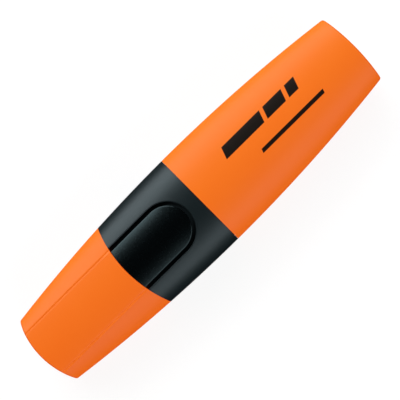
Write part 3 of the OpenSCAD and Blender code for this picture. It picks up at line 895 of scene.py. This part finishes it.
# Polished black of the clip: deep black with a narrower sheen
gloss_black = moulded_plastic("polished_black_polypropylene", "#010203", "#010202", roughness=0.26,
                              grain_mm=0.6, grain_depth=0.0002, tint="#D0F7FF")
# Black of the front section: plain, with a soft sheen
front_black = moulded_plastic("front_black_polypropylene", "#1A1C1E", "#151718", roughness=0.38, grain_mm=0.4,
                              grain_depth=0.008)
# Undyed polyethylene of the inner cap: milky and waxy
liner_white = moulded_plastic("natural_polyethylene", "#ECECE6", "#E2E2DA", roughness=0.5, grain_mm=0.6,
                              grain_depth=0.01)
# Polyester wrap of the ink store: pale and shiny
film_clear = moulded_plastic("clear_polyester_wrap", "#E9E9E4", "#DCDCD6", roughness=0.3, grain_mm=0.3,
                             grain_depth=0.004)
# Ink-soaked fibre: bright orange with no shine, in finer strands on the nib
nib_fibre = fibre("ink_soaked_nib_fibre", "#F7A23C", "#EE7F22", 0.22)
ink_fibre = fibre("ink_soaked_reservoir_fibre", "#F49A4A", "#E2702A", 0.3)

# Pieces

SIDES = (-1, 1)
barrel_shapes = barrel_grids() + [(rib, 1, False, True) for side in SIDES for rib in store_ribs(side)]
make_piece("barrel_body", barrel_shapes, "barrel", [barrel_orange, barrel_inside], "barrel")
tip_shapes = tip_grids() + [(spigot_grid(), 1, False, True), (ring_grid(socket_stations()), 1, True, True)]
tip_shapes += [(socket_rib(side), 1, False, True) for side in SIDES]
make_piece("cap_end_piece", tip_shapes, "cap", [cap_orange, cap_inside], "cap_tip")
make_piece("cap_sleeve", [(shell_grid(), 0, True, True)], "cap", [satin_black], "cap_shell")
clip_shapes = [(clip_grid(), 0, False, False), (ridge_grid(), 0, False, True)]
make_piece("clip_tongue", clip_shapes, "clip", [gloss_black], "cap_clip")
front_rings = ring_grid(front_stations())
make_piece("nib_holder", [(front_rings, 0, True, False)], "barrel", [front_black],
           "front_section")
nib_rings = ring_grid(nib_stations(), around=96, slant=NIB_SLANT / (2 * NIB_HALF))
make_piece("chisel_nib", [(nib_rings, 0, True, False)], "barrel", [nib_fibre], "nib")
liner_rings = ring_grid(liner_stations())
make_piece("cap_liner", [(liner_rings, 0, True, False)], "cap", [liner_white], "inner_cap")
for node, material in (("ink_reservoir", ink_fibre), ("reservoir_film", film_clear)):
    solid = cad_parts[node]
    solid.data.materials.clear()
    solid.data.materials.append(material)

# Floor of white paper, which is evenly bright and takes a faint shadow

FLOOR_HALF = 1.5
floor_corners = [(-FLOOR_HALF, -FLOOR_HALF, 0), (FLOOR_HALF, -FLOOR_HALF, 0), (FLOOR_HALF, FLOOR_HALF, 0),
                 (-FLOOR_HALF, FLOOR_HALF, 0)]
floor_mesh = bpy.data.meshes.new("floor")
floor_mesh.from_pydata(floor_corners, [], [(0, 1, 2, 3)])
floor = bpy.data.objects.new("floor", floor_mesh)
bpy.context.scene.collection.objects.link(floor)
floor_paper, _, paper_shader, _ = start_material("white_studio_paper")
paper_shader.inputs["Base Color"].default_value = linear("#6C6C6C")
paper_shader.inputs["Roughness"].default_value = 0.9
paper_shader.inputs["Emission Color"].default_value = linear("#FFFFFF")
paper_shader.inputs["Emission Strength"].default_value = 0.86
floor_mesh.materials.append(floor_paper)
floor.visible_glossy = False
floor.visible_diffuse = False

# Light

world = bpy.data.worlds.new("studio")
world.use_nodes = True
world.node_tree.nodes["Background"].inputs["Color"].default_value = linear("#FFFFFF")
world.node_tree.nodes["Background"].inputs["Strength"].default_value = 0.01
bpy.context.scene.world = world

SOFTBOX_DISTANCE = 0.9
SOFTBOX_WIDTH = 1.4


def softbox(name, azimuth, elevation, height, watts, glare=True):
    """A rectangular area light that faces the pen from a direction, in degrees from +X and above the floor.

    One without glare stands for a polarised light: it lights the colours and leaves no reflection.
    """
    data = bpy.data.lights.new(name, "AREA")
    data.shape = "RECTANGLE"
    data.size = SOFTBOX_WIDTH
    data.size_y = height
    data.energy = watts
    box = bpy.data.objects.new(name, data)
    a, e = math.radians(azimuth), math.radians(elevation)
    reach = SOFTBOX_DISTANCE * math.cos(e)
    box.location = (reach * math.cos(a), reach * math.sin(a), AXIS_HEIGHT + SOFTBOX_DISTANCE * math.sin(e))
    box.rotation_euler = (math.pi / 2 - e, 0, a + math.pi / 2)
    box.visible_glossy = glare
    bpy.context.scene.collection.objects.link(box)


softbox("softbox_left", azimuth=90, elevation=23, height=0.7, watts=11.8)
softbox("softbox_right", azimuth=-90, elevation=29, height=0.5, watts=4.9)
softbox("fill_rear", azimuth=60, elevation=42, height=0.65, watts=6.4, glare=False)
softbox("fill_low", azimuth=84, elevation=6, height=0.3, watts=2.4, glare=False)
softbox("fill_right", azimuth=-90, elevation=25, height=0.5, watts=5.6, glare=False)

# Camera: the pen lies at 44.8 degrees in the picture, seen from above with a slight lean to its near side

PEN_ANGLE = math.radians(44.78)
VIEW_LEAN = math.radians(2.4)
VIEW_DISTANCE = 1.2
PICTURE_WIDTH = 101.9 * MM
PICTURE_MIDDLE = (0.68 * MM, -0.06 * MM, AXIS_HEIGHT)
SENSOR_WIDTH = 36
camera_data = bpy.data.cameras.new("camera")
camera_data.sensor_width = SENSOR_WIDTH
camera_data.lens = SENSOR_WIDTH * VIEW_DISTANCE / PICTURE_WIDTH
camera_data.clip_end = 20
camera = bpy.data.objects.new("camera", camera_data)
camera.location = (PICTURE_MIDDLE[0], PICTURE_MIDDLE[1] - VIEW_DISTANCE * math.sin(VIEW_LEAN),
                   PICTURE_MIDDLE[2] + VIEW_DISTANCE * math.cos(VIEW_LEAN))
camera.rotation_mode = "ZYX"
camera.rotation_euler = (VIEW_LEAN, 0, -PEN_ANGLE)
bpy.context.scene.collection.objects.link(camera)
bpy.context.scene.camera = camera
bpy.context.scene.view_settings.view_transform = "Standard"
